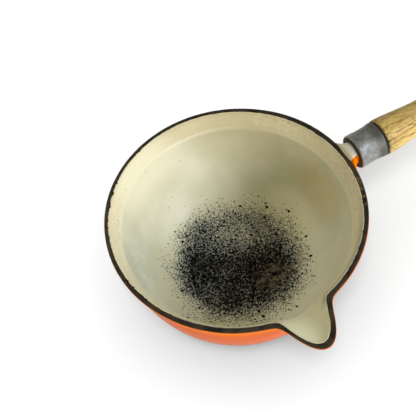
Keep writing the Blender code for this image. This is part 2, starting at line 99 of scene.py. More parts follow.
LUG_RADIUS = 8.0 * MM
LUG_TOP = 7.2 * MM
LUG_EXPONENT = 2.3
LUG_ROOT_SPREAD = 6.6 * MM
LUG_ROOT_SAG = 5.0 * MM
LUG_ROOT_DEPTH = 3.5 * MM
LUG_FADE_LENGTH = 2.4 * MM
LUG_FADE_POWER = 1.5
LUG_COAT = 0.7 * MM

# ---------- sizes of the finish

COAT = 0.4 * MM
COAT_GAP = 0.1 * MM
BEAD_RADIUS = RIM_RADIUS - 0.02 * MM
BEAD_INSET = 0.4 * MM
BEAD_INSET_AZIMUTH = radians(-95)
BEAD_SWELL = 0.75 * MM
BEAD_SWELL_AZIMUTH = radians(8)
BEAD_SWELL_WIDTH = radians(42)
BEAD_ROUNDING = 0.75 * MM
INNER_EDGE_ROUNDING = 0.9 * MM
CREAM_OVER_RIM = 0.8 * MM
CREAM_DRIFT = 0.3 * MM
CREAM_DRIFT_AZIMUTH = radians(153)
CREAM_EDGE = 0.22 * MM
CREAM_RAISE = 0.2 * MM
CREAM_SINK = 0.05 * MM
ORANGE_TOP = PAN_HEIGHT - 1.6 * MM
ORANGE_CREEP = 0.9 * MM
WOBBLES_PER_TURN = 1.3


def handle_matrix():
    """Local +Z becomes the handle axis, local +X its upper side; local Y stays level."""
    along = Vector((cos(HANDLE_TILT), 0, sin(HANDLE_TILT)))
    level = Vector((0, -1, 0))
    rotation = Matrix((level.cross(along), level, along)).transposed().to_4x4()
    return Matrix.Translation(HANDLE_START) @ rotation


HANDLE = handle_matrix()
INTO_HANDLE = HANDLE.inverted()


def handle_points(node):
    """The points of a CAD node in handle space, where Z runs along the handle's axis."""
    return [INTO_HANDLE @ v.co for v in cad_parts[node].data.vertices]


def handle_span(node):
    """Where a CAD node starts and ends along the handle's axis."""
    places = [point.z for point in handle_points(node)]
    return min(places), max(places)


def handle_reach(node):
    """The largest radius of a CAD node about the handle's axis."""
    return max(point.xy.length for point in handle_points(node))


# ---------- mesh helpers


def new_object(name, data):
    """An object in the scene with this mesh, light or camera."""
    obj = bpy.data.objects.new(name, data)
    bpy.context.scene.collection.objects.link(obj)
    return obj


def new_piece(name, verts, faces, smooth_angle=35):
    """A mesh object of these points and faces, shaded smooth except at sharp edges."""
    mesh = bpy.data.meshes.new(name)
    mesh.from_pydata([tuple(v) for v in verts], [], faces)
    mesh.update()
    bm = bmesh.new()
    bm.from_mesh(mesh)
    bmesh.ops.recalc_face_normals(bm, faces=bm.faces)
    if bm.calc_volume(signed=True) < 0:
        bmesh.ops.reverse_faces(bm, faces=bm.faces)
    bm.to_mesh(mesh)
    bm.free()
    mesh.shade_smooth()
    mesh.set_sharp_from_angle(angle=radians(smooth_angle))
    return new_object(name, mesh)


def ring_faces(rings, columns, closed_loop):
    """Faces between rings of points stored one after another; an open run ends in two poles."""
    faces = []
    for i in range(rings if closed_loop else rings - 1):
        here = i * columns
        there = ((i + 1) % rings) * columns
        for j in range(columns):
            k = (j + 1) % columns
            faces.append((here + j, there + j, there + k, here + k))
    if not closed_loop:
        first_pole = rings * columns
        for pole, start in ((first_pole, 0), (first_pole + 1, (rings - 1) * columns)):
            for j in range(columns):
                faces.append((start + j, start + (j + 1) % columns, pole))
    return faces


def ring_piece(name, rings, closed_loop=False, smooth_angle=35):
    """A closed skin over an array of rings, shaped (rings, columns, 3)."""
    count, columns = rings.shape[:2]
    verts = rings.reshape(-1, 3)
    if not closed_loop:
        poles = np.array([rings[0].mean(0), rings[-1].mean(0)])
        verts = np.concatenate([verts, poles])
    return new_piece(name, verts, ring_faces(count, columns, closed_loop), smooth_angle)


def circle(steps):
    return np.arange(steps) * 2 * pi / steps


def turned_piece(name, profile, steps, wobble=0.0, grain=0.0, hollow=True, smooth_angle=35):
    """A skin turned round the handle axis from (place, radius) points, slightly out of true.

    wobble is how far out of true, and grain how fast that changes along the axis, per metre.
    """
    rings = []
    for place, radius in profile:
        ring = []
        for a in circle(steps):
            spot = Vector((cos(a), sin(a), place * grain)) * WOBBLES_PER_TURN
            r = radius + noise.noise(spot) * wobble
            ring.append((r * cos(a), r * sin(a), place))
        rings.append(ring)
    obj = ring_piece(name, np.array(rings), hollow, smooth_angle)
    obj.data.transform(HANDLE)
    return obj


def arc(place, radius, size, start, end, steps, squash=1.0):
    """A rounded edge in a turned profile, as (place, radius); squash flattens it in radius."""
    angles = [radians(start + (end - start) * i / steps) for i in range(steps + 1)]
    return [(place + size * cos(a), radius + size * squash * sin(a)) for a in angles]


def ease(start, end, share):
    """A value on the way from start to end along half a cosine wave."""
    return start + (end - start) * (1 - cos(pi * share)) / 2


def unite(obj, other):
    """Makes other part of obj's closed skin, and removes it."""
    modifier = obj.modifiers.new("unite", "BOOLEAN")
    modifier.operation = "UNION"
    modifier.solver = "EXACT"
    modifier.object = other
    graph = bpy.context.evaluated_depsgraph_get()
    mesh = bpy.data.meshes.new_from_object(obj.evaluated_get(graph))
    mesh.shade_smooth()
    mesh.set_sharp_from_angle(angle=radians(40))
    obj.modifiers.clear()
    obj.data = mesh
    bpy.data.objects.remove(other, do_unlink=True)


# ---------- the pan's surfaces


def bowl_radius(z, base, shoulder, floor_z, rim, shoulder_z):
    """Radius of a bowl wall at heights z: a superellipse up to the shoulder, then a flare."""
    rise = np.clip((z - shoulder_z) / (FLARE_TOP - shoulder_z), 0, 1)
    flare = shoulder + (rim - shoulder) * rise ** FLARE_CURVE
    drop = np.clip((shoulder_z - z) / (shoulder_z - floor_z), 0, 1)
    turn = np.arccos(drop ** (BOWL_EXPONENT / 2))
    bowl = base + (shoulder - base) * np.sin(turn) ** (2 / BOWL_EXPONENT)
    return np.where(z >= shoulder_z, flare, bowl)


def eased_radius(z, ease, *bowl):
    """The same wall with the crease at its shoulder and rim softened."""
    total = 0
    for share in (-1, -0.5, 0, 0.5, 1):
        total = total + bowl_radius(z + share * ease, *bowl)
    return total / 5


def outer_radius(z):
    return eased_radius(z, 0.7 * MM, BASE_RADIUS, SHOULDER_RADIUS, 0, RIM_RADIUS, SHOULDER_Z)


def inner_radius(z):
    return eased_radius(z, 0.9 * MM, FLOOR_RADIUS, INNER_SHOULDER_RADIUS, FLOOR_Z,
                        INNER_RIM_RADIUS, INNER_SHOULDER_Z)


def pan_azimuths():
    """Directions of the pan's columns, closest together across the pouring lip."""
    half_span = radians(20)
    lip_columns = 128
    other_columns = 400
    lip = LIP_AZIMUTH + np.linspace(-half_span, half_span, lip_columns, endpoint=False)
    rest = LIP_AZIMUTH + np.linspace(half_span, 2 * pi - half_span, other_columns, endpoint=False)
    return np.concatenate([lip, rest])


AZIMUTHS = pan_azimuths()


def turn_from(azimuth):
    """How far each column lies from this azimuth, between -pi and pi."""
    return (AZIMUTHS - azimuth + pi) % (2 * pi) - pi


def lip_plan(centre, half_angle, tip_angle, neck_angle, slope):
    """How far the pouring lip pulls the rim outwards, one value for each column."""
    inside = half_angle - np.hypot(turn_from(centre), tip_angle)
    return slope * neck_angle * np.log1p(np.exp(inside / neck_angle))


def lip_fade(z, depth):
    """What share of the lip's pull is left at height z."""
    below = np.maximum(0.0, PAN_HEIGHT - z)
    return np.exp(-((below / depth) ** LIP_FADE_POWER))


def outer_push(z):
    """The lip's outside, turned a little towards the handle, where its bead is thicker."""
    plan = lip_plan(LIP_AZIMUTH + LIP_BEAD_SHIFT, OUTER_LIP_HALF_ANGLE, OUTER_LIP_TIP_ANGLE,
                    OUTER_LIP_NECK_ANGLE, OUTER_LIP_SLOPE)
    return plan * lip_fade(z, LIP_UNDERSIDE_DEPTH)


def inner_push(z):
    """The lip's trough, one value for each column."""
    plan = lip_plan(LIP_AZIMUTH, INNER_LIP_HALF_ANGLE, INNER_LIP_TIP_ANGLE,
                    INNER_LIP_NECK_ANGLE, INNER_LIP_SLOPE)
    return plan * lip_fade(z, LIP_FLOOR_DEPTH)


def ring_of(radius, z):
    """One ring of points: radius and z are numbers or one value for each column."""
    height = np.broadcast_to(z, AZIMUTHS.shape)
    return np.stack([radius * np.cos(AZIMUTHS), radius * np.sin(AZIMUTHS), height], axis=1)


def ring_at(radius, z, push):
    """A ring on the wall, pulled out by the lip as much as its height says."""
    return ring_of(radius + push(z), z)


def ring_at_top(radius, z):
    """A ring on top of the rim: it keeps the trough's full pull whatever its height."""
    return ring_of(radius + inner_push(PAN_HEIGHT), z)


def bead_ring(radius, z):
    """A ring on the outer side of the bare bead, with the full pull of the lip's outside."""
    return ring_of(radius + outer_push(PAN_HEIGHT), z)


def limit_radius(ring, edge):
    """The ring pulled in where it would pass the chipped edge of the cream."""
    limit = edge + inner_push(PAN_HEIGHT)
    scale = np.minimum(1, limit / np.hypot(ring[:, 0], ring[:, 1]))
    return ring * np.stack([scale, scale, np.ones(len(scale))], axis=1)


def bowl_heights(floor_z, shoulder_z, first, last, steps):
    """Heights evenly spread round the bowl's curve between two heights."""
    span = shoulder_z - floor_z
    ends = [np.arccos(((shoulder_z - z) / span) ** (BOWL_EXPONENT / 2)) for z in (first, last)]
    turns = np.linspace(ends[0], ends[1], steps)
    return shoulder_z - span * np.cos(turns) ** (2 / BOWL_EXPONENT)


def round_noise(frequency, seed):
    """Smooth noise round the pan, about -1 to 1, one value for each column."""
    values = []
    for a in AZIMUTHS:
        spot = Vector((cos(a) * frequency, sin(a) * frequency, seed))
        values.append(noise.noise(spot))
    return np.array(values) * 1.6


def sunk(rings, depth):
    """The rings moved into the metal by depth, at right angles to the surface."""
    across = np.roll(rings, -1, axis=1) - np.roll(rings, 1, axis=1)
    normals = np.cross(across, np.gradient(rings, axis=0))
    return rings + normals / np.linalg.norm(normals, axis=2, keepdims=True) * depth


# ---------- the pan's pieces


def inner_rings():
    """The inside from the middle of the floor up to just under the rim's rounded edge."""
    rings = []
    for share in np.linspace(0.04, 1, 14)[:-1]:
        rings.append(ring_at(FLOOR_RADIUS * share, FLOOR_Z, inner_push))
    turn_end = INNER_SHOULDER_Z - 20 * MM
    rim_edge = PAN_HEIGHT - INNER_EDGE_ROUNDING
    low = bowl_heights(FLOOR_Z, INNER_SHOULDER_Z, FLOOR_Z + 0.02 * MM, turn_end, 44)
    high = np.linspace(turn_end, rim_edge, 56)[1:]
    for z in np.concatenate([low, high]):
        rings.append(ring_at(inner_radius(z), z, inner_push))
    return np.array(rings)


def outer_rings(top):
    """The outside from the height top down to the foot."""
    turn_start = 45 * MM
    high = np.linspace(top, turn_start, 56)[:-1]
    low = bowl_heights(0, SHOULDER_Z, turn_start, FOOT_EDGE, 40)
    return np.array([ring_at(outer_radius(z), z, outer_push) for z in np.concatenate([high, low])])


def chips():
    """How far the cream's edge is chipped back on the rim, one value for each column."""
    azimuth_width_depth = ((115.5, 0.9, 0.8), (142.5, 1.0, 1.2), (149.5, 1.3, 1.2), (152, 0.7, 0.5),
                           (166, 0.8, 0.5), (96, 0.6, 0.5), (71, 0.9, 0.5), (52, 0.7, 0.6),
                           (18, 0.9, 0.6), (-28, 0.6, 0.4))
    back = np.zeros(len(AZIMUTHS))
    for azimuth, half_width, depth in azimuth_width_depth:
        offset = turn_from(radians(azimuth)) / radians(half_width)
        back = back + depth * MM * np.exp(-(offset ** 4))
    nibbles = np.maximum(0, round_noise(60, 3.1) - 0.3) * 1.0 * MM
    return back + nibbles + 0.13 * MM * round_noise(170, 4.4)


def cream_edge_radius():
    """Where the cream ends on top of the rim, before the lip's pull."""
    turn = AZIMUTHS - CREAM_DRIFT_AZIMUTH
    drift = CREAM_DRIFT * (np.cos(turn) + np.cos(2 * turn))
    wander = 0.12 * MM * round_noise(14, 1.7) + 0.09 * MM * round_noise(45, 8.2)
    edge = INNER_RIM_RADIUS + CREAM_OVER_RIM + drift + wander - chips()
    return np.maximum(edge, INNER_RIM_RADIUS + 0.25 * MM)


def make_cream_coat():
    """The cream enamel: floor, wall and flare, then over the rim's inner edge to a chipped line."""
    edge = cream_edge_radius()
    round_z = PAN_HEIGHT - INNER_EDGE_ROUNDING
    rings = list(inner_rings())
    for turn in np.linspace(0, pi / 2, 7)[1:]:
        radius = INNER_RIM_RADIUS + INNER_EDGE_ROUNDING * (1 - cos(turn))
        z = round_z + (INNER_EDGE_ROUNDING + CREAM_RAISE) * sin(turn)
        rings.append(limit_radius(ring_at_top(radius, z), edge))
    flat_start = np.minimum(INNER_RIM_RADIUS + INNER_EDGE_ROUNDING, edge)
    top = PAN_HEIGHT + CREAM_RAISE
    for share in (0.35, 0.7, 1.0):
        rings.append(ring_at_top(flat_start + (edge - flat_start) * share, top))
    rings.append(ring_at_top(edge + CREAM_EDGE * 0.7, top - CREAM_EDGE * 0.35))
    rings.append(ring_at_top(edge + CREAM_EDGE, PAN_HEIGHT - CREAM_SINK))
    rings.append(ring_at_top(INNER_RIM_RADIUS + COAT, round_z))
    back = sunk(inner_rings()[::3], COAT)
    return ring_piece("cream_coat", np.concatenate([rings, back[::-1]]), smooth_angle=50)


def near_side():
    """1 round the near side of the pan, where the orange climbs highest, and 0 round the far."""
    return np.clip(0.5 + 0.9 * np.cos(AZIMUTHS - BEAD_INSET_AZIMUTH), 0, 1)


def handle_side():
    """1 where the handle joins the rim, fading to 0 a quarter turn away."""
    return np.exp(-((turn_from(BEAD_SWELL_AZIMUTH) / BEAD_SWELL_WIDTH) ** 4))


def bead_radius():
    """Outer radius of the bare bead, one value for each column."""
    return BEAD_RADIUS - BEAD_INSET * near_side() + BEAD_SWELL * handle_side()


def make_pan_iron():
    """The casting: foot, the core of the wall, and the bare bead that shows all round the rim."""
    inside = sunk(inner_rings()[::2], COAT + COAT_GAP)
    outside = sunk(outer_rings(PAN_HEIGHT - 2.2 * MM)[::2], COAT + COAT_GAP)[::-1]
    foot = [ring_at(BASE_RADIUS - 0.2 * MM, 0, outer_push)]
    for z in (0.4 * MM, 1.2 * MM):
        foot.append(ring_at(outer_radius(z), z, outer_push))
    uneven = np.minimum(0.06 * MM * round_noise(9, 5.5), 0.01 * MM)
    bead = [bead_ring(bead_radius() + uneven, PAN_HEIGHT - 1.8 * MM)]
    centre = PAN_HEIGHT - BEAD_ROUNDING
    for turn in np.linspace(0, pi / 2, 8):
        radius = bead_radius() - BEAD_ROUNDING * (1 - cos(turn))
        height = centre + (BEAD_ROUNDING + uneven) * sin(turn)
        bead.append(bead_ring(radius + uneven, height))
    outer_top = bead[-1]
    inner_top = ring_at_top(INNER_RIM_RADIUS + INNER_EDGE_ROUNDING, PAN_HEIGHT - 0.02 * MM)
    for share in (0.25, 0.5, 0.75, 1):
        bead.append(outer_top + (inner_top - outer_top) * share)
    under_cream = INNER_RIM_RADIUS + COAT + COAT_GAP
    bead.append(ring_at_top(under_cream, PAN_HEIGHT - INNER_EDGE_ROUNDING))
    whole = np.concatenate([foot, outside, bead, inside[::-1]])
    return ring_piece("pan_iron", whole, smooth_angle=50)


def lug_size(place):
    """The lug's half width, top and bottom reach from the handle axis, at a place along it."""
    fade = np.exp(-((max(0.0, place) / LUG_FADE_LENGTH) ** LUG_FADE_POWER))
    half_width = LUG_RADIUS + LUG_ROOT_SPREAD * fade
    return half_width, LUG_TOP - LUG_ROOT_SAG * fade, LUG_RADIUS + LUG_ROOT_DEPTH * fade


def lug_ring(place):
    """One oval section round the glazed lug in handle space, flatter on top."""
    half_width, top, bottom = lug_size(place)
    angles = circle(96)
    power = 2 / LUG_EXPONENT
    reach = np.where(np.sin(angles) > 0, top, bottom) + LUG_COAT
    side = np.sign(np.cos(angles)) * np.abs(np.cos(angles)) ** power * (half_width + LUG_COAT)
    height = np.sign(np.sin(angles)) * np.abs(np.sin(angles)) ** power * reach
    return np.stack([height, side, np.full(len(angles), place)], axis=1)


def make_lug_sleeve():
    """The orange enamel round the lug, from inside the wall to inside the ferrule."""
    places = np.linspace(-1.5 * MM, handle_span("ferrule")[0] + 2 * MM, 36)
    sleeve = ring_piece("lug_sleeve", np.array([lug_ring(place) for place in places]))
    sleeve.data.transform(HANDLE)
    for vertex in sleeve.data.vertices:
        if vertex.co.xy.length < BEAD_RADIUS - 0.1 * MM:
            vertex.co.z = min(vertex.co.z, ORANGE_TOP - 0.3 * MM)
    return sleeve


def make_orange_coat():
    """The orange enamel outside, and its sleeve along the lug into the ferrule."""
    wander = 0.12 * MM * round_noise(11, 2.6) + 0.07 * MM * round_noise(38, 6.4)
    top = ORANGE_TOP + wander + ORANGE_CREEP * near_side()
    inner = bead_radius()
    outer = np.maximum(RIM_RADIUS, inner + 0.02 * MM) - 0.01 * MM
    edge = []
    for share, drop in ((0.1, 0), (0.6, 0.04 * MM), (1, 0.2 * MM)):
        edge.append(bead_ring(inner + (outer - inner) * share, top - drop))
    back = sunk(outer_rings(ORANGE_TOP - 0.9 * MM)[::3], COAT)
    whole = np.concatenate([edge, outer_rings(ORANGE_TOP - 0.7 * MM), back[::-1]])
    coat = ring_piece("orange_coat", whole, closed_loop=True, smooth_angle=50)
    unite(coat, make_lug_sleeve())
    return coat


def make_lug_glaze():
    """Cream enamel that ran out over the top of the lug, from the bead to inside the ferrule."""
    rows = 40
    columns = 60
    near_edge = 6.9 * MM
    far_edge = -14.6 * MM
    far_taper = 5.0 * MM
    bead = BEAD_RADIUS - 0.25 * MM
    end = handle_span("ferrule")[0] + 1.6 * MM
    grid = np.zeros((rows, columns, 3))
    for i, along in enumerate(np.linspace(0, 1, rows)):
        near = near_edge + 0.25 * MM * noise.noise(Vector((along * 4, 2.2, 0)))
        far = far_edge + far_taper * along ** 0.6
        for j, across in enumerate(np.linspace(0, 1, columns)):
            side = near + (far - near) * across
            first = (bead * cos(asin(side / bead)) - HANDLE_START.x) / cos(HANDLE_TILT)
            place = first + (end - first) * along
            half_width, top, _ = lug_size(place)
            share = min(0.999, abs(side) / (half_width + LUG_COAT))
            height = (top + LUG_COAT) * (1 - share ** LUG_EXPONENT) ** (1 / LUG_EXPONENT)
            spot = HANDLE @ Vector((height, side, place))
            if spot.xy.length < RIM_RADIUS + 0.3 * MM:
                spot.z = max(spot.z, ORANGE_TOP + 0.08 * MM)
            grid[i, j] = spot
    return slab("lug_glaze", grid, raise_by=0.16 * MM, sink_by=0.2 * MM)


def slab(name, grid, raise_by, sink_by):
    """A thin closed skin over an open grid of points, its raised edges rounded off."""
    rows, columns = grid.shape[:2]
    normals = np.cross(np.gradient(grid, axis=1), np.gradient(grid, axis=0))
    normals /= np.linalg.norm(normals, axis=2, keepdims=True)
    normals *= np.sign(normals[rows // 2, columns // 2, 2])
    i = np.minimum(np.arange(rows), np.arange(rows)[::-1])[:, None]
    j = np.minimum(np.arange(columns), np.arange(columns)[::-1])[None, :]
    rounding = np.sqrt(np.clip(np.minimum(i, j) / 2, 0, 1))[..., None]
    front = grid + normals * raise_by * rounding
    back = grid - normals * sink_by
    verts = np.concatenate([front.reshape(-1, 3), back.reshape(-1, 3)])
    half = rows * columns
    index = np.arange(half).reshape(rows, columns)
    corners = [index[:-1, :-1], index[:-1, 1:], index[1:, 1:], index[1:, :-1]]
    skin = np.stack(corners, axis=2).reshape(-1, 4)
    faces = skin.tolist() + (skin[:, ::-1] + half).tolist()
    sides = [index[:, 0], index[-1, 1:], index[-2::-1, -1], index[0, -2:0:-1]]
    border = np.concatenate(sides).tolist()
    for a, b in zip(border, border[1:] + border[:1]):
        faces.append((a, b, half + b, half + a))
    return new_piece(name, verts, faces, 50)


# ---------- the handle's pieces


def make_ferrule_cup():
    """The drawn metal cup: a rounded nose round the lug, a faint waist and a rolled seam."""
    start, end = handle_span("ferrule")
    bore = 11.6 * MM
    hole = 9.3 * MM
    nose = 2.2 * MM
    nose_radius = 13.6 * MM
    waist = 0.38 * MM
    wall = 2.4 * MM
    seam = handle_reach("ferrule")
    seam_start = end - 3.4 * MM
    waist_end = start + nose + 1.6 * MM
    profile = [(start + wall, hole), (start + wall, bore), (end - 0.5 * MM, bore)]
    profile += arc(end - 0.5 * MM, bore + 0.5 * MM, 0.5 * MM, 270, 360, 4)
    profile += arc(end - 0.8 * MM, seam - 0.8 * MM, 0.8 * MM, 0, 90, 8)
    profile += [(end - 2.2 * MM, seam - 0.12 * MM), (seam_start, seam - 0.42 * MM)]
    for share in np.linspace(0.1, 0.9, 14):
        place = seam_start + (waist_end - seam_start) * share
        profile.append((place, nose_radius - waist * sin(pi * share)))
    profile.append((start + nose + 0.9 * MM, nose_radius - 0.05 * MM))
    profile += arc(start + nose, nose_radius - nose, nose, 88, 180, 14)
    profile += arc(start + 0.6 * MM, hole + 0.6 * MM, 0.6 * MM, 180, 270, 5)
    return turned_piece("ferrule_cup", profile, 144, wobble=0.14 * MM, grain=60, smooth_angle=40)


def make_joint_gasket():
    """The thin black ring squeezed between ferrule and wood, its outer edge bulging."""
    start, end = handle_span("handle_gasket")
    inner = 11.7 * MM
    outer = handle_reach("handle_gasket")
    middle = (start + end) / 2
    half = (end - start) / 2
    profile = [(start, inner), (end, inner)]
    profile += arc(middle, outer - half, half, 0, 180, 10)
    return turned_piece("joint_gasket", profile, 128, wobble=0.05 * MM, grain=400)


def make_turned_handle():
    """The wooden grip: full shoulder, slim neck, swelling end, with the wear of long use."""
    start, end = handle_span("wood_handle")
    shoulder_place = handle_span("handle_gasket")[1] + 0.3 * MM
    tenon = 11.3 * MM
    bore = 3.1 * MM
    seat = 9.4 * MM
    shoulder = 14.5 * MM
    neck = 12.0 * MM
    swelling = 15.2 * MM
    neck_share = 0.3
    swell_share = 0.82
    end_round = 11 * MM
    edge = 1.1 * MM
    edge_squash = 0.6
    flat = end - end_round

    def grip(place):
        share = (place - shoulder_place) / (end - shoulder_place)
        if share < neck_share:
            return ease(shoulder, neck, share / neck_share)
        swell = (share - neck_share) / (swell_share - neck_share)
        return ease(neck, swelling, min(1.0, swell))

    profile = [(end, bore), (end, seat)]
    profile += arc(flat, seat, end_round, 0, 90, 16, (grip(flat) - seat) / end_round)[1:]
    for place in np.linspace(flat, shoulder_place + edge, 70)[1:]:
        profile.append((place, grip(place)))
    centre = shoulder - edge * edge_squash
    profile += arc(shoulder_place + edge, centre, edge, 90, 180, 6, edge_squash)[1:]
    profile += [(shoulder_place, tenon), (start + 0.8 * MM, tenon)]
    profile += [(start, tenon - 0.8 * MM), (start, bore)]
    return turned_piece("turned_handle", profile, 144, wobble=0.12 * MM, grain=40, smooth_angle=40)


def make_domed_washer():
    """The steel washer that takes the rod's pull at the end of the wood."""
    start, _ = handle_span("end_washer")
    end = start + 1.6 * MM
    reach = handle_reach("end_washer")
    hole = 3.1 * MM
    profile = [(start, hole), (end + 0.5 * MM, hole)]
    rim = reach - 0.6 * MM
    for share in np.linspace(0.1, 1, 8):
        profile.append((end + 0.5 * MM * (1 - share ** 2), hole + (rim - hole) * share))
    profile += arc(end - 0.6 * MM, rim, 0.6 * MM, 0, 90, 6)[1:]
    profile += [(start + 0.2 * MM, reach), (start, reach - 0.2 * MM)]
    return turned_piece("domed_washer", profile, 112, wobble=0.03 * MM, grain=100)


def make_rod_and_eye():
    """The tie rod with its collar, and the forged eye that the ring hangs in."""
    tip, last = handle_span("tie_rod")
    eye_hole = 4.0 * MM
    wire = 2.38 * MM
    eye_place = last - 0.06 * MM - eye_hole - 2 * wire
    collar = handle_span("end_washer")[1] + 0.3 * MM
    collar_top = collar + 1.3 * MM
    collar_radius = 4.0 * MM
    shank = 2.8 * MM
    neck = 2.2 * MM
    neck_end = eye_place - eye_hole - 0.8 * MM
    profile = []
    for share in np.linspace(0, 1, 10):
        place = collar_top + (neck_end - collar_top) * (1 - share)
        profile.append((place, neck + (collar_radius - neck) * share ** 2))
    profile += arc(collar + 0.5 * MM, collar_radius - 0.1 * MM, 0.5 * MM, 60, -180, 10)[:9]
    profile += [(collar, shank), (tip + 1 * MM, shank), (tip, shank - 1 * MM)]
    rod = turned_piece("rod_and_eye", profile, 64, hollow=False)
    eye = ring_tube("eye", eye_hole + wire, wire, 96, 32)
    eye.data.transform(Matrix.Rotation(pi / 2, 4, "X"))
    eye.data.transform(HANDLE @ Matrix.Translation((0, 0, eye_place)))
    unite(rod, eye)
    return rod


def ring_tube(name, radius, wire, columns, sides):
    """A wire ring round local Z."""
    rings = []
    for a in circle(columns):
        ring = []
        for t in circle(sides):
            r = radius + wire * cos(t)
            ring.append((r * cos(a), r * sin(a), wire * sin(t)))
        rings.append(ring)
    return ring_piece(name, np.array(rings), closed_loop=True)


def make_hang_ring():
    """The wire ring, hanging straight down from the eye."""
    low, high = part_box("hanging_ring")
    wire = (high.x - low.x) / 2
    radius = (high.y - low.y) / 2 - wire
    ring = ring_tube("hang_ring", radius, wire * 0.97, 160, 28)
    centre = (low + high) / 2
    ring.data.transform(Matrix.Rotation(pi / 2, 4, "Y"))
    ring.data.transform(Matrix.Translation(centre))
    return ring


# ---------- material helpers


class Look:
    """A Principled material, with short ways to add nodes to it."""

    def __init__(self, name, along_handle=False, **sockets):
        self.material = bpy.data.materials.new(name)
        self.material.use_nodes = True
        self.tree = self.material.node_tree
        self.shader = self.tree.nodes["Principled BSDF"]
        for socket, value in sockets.items():
            title = socket.replace("_", " ").title().replace("Ior", "IOR")
            self.shader.inputs[title].default_value = value
        self.spot = self.node("TexCoord", {}).outputs["Object"]
        if along_handle:
            self.spot = self.into_handle(self.spot)

    def put(self, value, socket):
        if isinstance(value, bpy.types.NodeSocket):
            self.tree.links.new(value, socket)
        else:
            socket.default_value = value

    def node(self, kind, values, **settings):
        """A new node with these settings, and a value or a link for each of these inputs."""
        made = self.tree.nodes.new("ShaderNode" + kind)
        for name, value in settings.items():
            setattr(made, name, value)
        for name, value in values.items():
            self.put(value, made.inputs[name])
        return made

    def into_handle(self, spot):
        """The same spot in handle space, where Z runs along the handle's axis."""
        values = {"Location": INTO_HANDLE.to_translation(), "Rotation": INTO_HANDLE.to_euler()}
        return self.node("Mapping", {"Vector": spot, **values}).outputs[0]

    def shade(self, socket, value):
        """Drives one of the shader's sockets."""
        self.tree.links.new(value, self.shader.inputs[socket])

    def math(self, operation, a, b=0.0, c=0.0):
        return self.node("Math", {0: a, 1: b, 2: c}, operation=operation).outputs[0]

    def add(self, a, b):
        return self.math("ADD", a, b)

    def times(self, a, b):
        return self.math("MULTIPLY", a, b)

    def most(self, a, b):
        return self.math("MAXIMUM", a, b)

    def length(self, a, b):
        return self.math("SQRT", self.add(self.times(a, a), self.times(b, b)))

    def split(self, vector=None):
        return self.node("SeparateXYZ", {0: vector or self.spot}).outputs

    def join(self, x, y, z):
        return self.node("CombineXYZ", {0: x, 1: y, 2: z}).outputs[0]

    def noise(self, scale, detail=2.0, rough=0.5, vector=None, warp=0.0):
        values = {"Scale": scale, "Detail": detail, "Roughness": rough, "Distortion": warp}
        return self.node("TexNoise", {"Vector": vector or self.spot, **values}).outputs["Fac"]

    def cells(self, scale, flat=False):
        """Distance from the middle of the nearest cell, and a colour that is the cell's own."""
        values = {"Vector": self.spot, "Scale": scale}
        made = self.node("TexVoronoi", values, voronoi_dimensions="2D" if flat else "3D")
        return made.outputs["Distance"], made.outputs["Color"]

    def mask(self, value, start, end, low=0.0, high=1.0):
        """Goes smoothly from low at start to high at end."""
        limits = {"From Min": start, "From Max": end, "To Min": low, "To Max": high}
        made = self.node("MapRange", {"Value": value, **limits}, interpolation_type="SMOOTHSTEP")
        return made.outputs[0]

    def mix(self, share, a, b):
        tones = [(*tone, 1) if isinstance(tone, tuple) else tone for tone in (a, b)]
        values = {0: share, 6: tones[0], 7: tones[1]}
        return self.node("Mix", values, data_type="RGBA").outputs[2]

    def over(self, colour, tone, mask, share=1.0):
        """The colour with a tone laid over it where mask is 1, as thickly as share says."""
        return self.mix(mask if share == 1.0 else self.times(mask, share), colour, tone)

    def wander(self, value, cloud, range_of_change):
        """The value pushed up and down by a cloud, over this range in all."""
        return self.add(value, self.times(self.add(cloud, -0.5), range_of_change))

    def near(self, centre, size):
        """1 at a place on the object, fading to 0 this far from it each way, in millimetres."""
        total = 0.0
        for part, middle, reach in zip(self.split(), centre, size):
            scaled = self.times(self.add(part, -middle * MM), 1 / (reach * MM))
            total = self.math("MULTIPLY_ADD", scaled, scaled, total)
        return self.mask(total, 0.0, 1.0, 1.0, 0.0)

    def bump(self, height, distance, strength):
        made = self.node("Bump", {"Strength": strength, "Distance": distance, "Height": height})
        self.shade("Normal", made.outputs[0])

    def paint(self, obj):
        obj.data.materials.clear()
        obj.data.materials.append(self.material)


# ---------- materials


